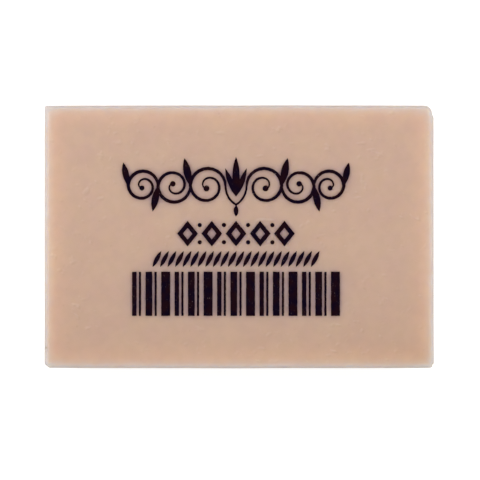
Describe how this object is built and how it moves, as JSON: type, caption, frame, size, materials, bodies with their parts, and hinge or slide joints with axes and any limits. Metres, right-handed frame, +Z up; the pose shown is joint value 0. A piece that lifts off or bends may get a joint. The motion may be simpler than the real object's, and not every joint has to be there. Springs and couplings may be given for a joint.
{
  "type": "gum eraser",
  "caption": "Flat rectangular block of soft tan art gum for rubbing out pencil, with rounded edges, one worn round corner and a plain ornament with bars printed on its top face.",
  "frame": {"origin": "middle of the underside, on the surface that the block lies on", "axes": "+X along the length, to the right as the print is looked at; +Y across the width, towards the top of the print; +Z up through the thickness, out of the printed face"},
  "size_m": [0.05, 0.0338, 0.012],
  "materials": {
    "gum": "satin tan gum, slightly translucent",
    "ink": "matt near-black printing ink"
  },
  "bodies": {
    "root": {"gum_block": "gum", "face_print": "ink"}
  },
  "joints": []
}
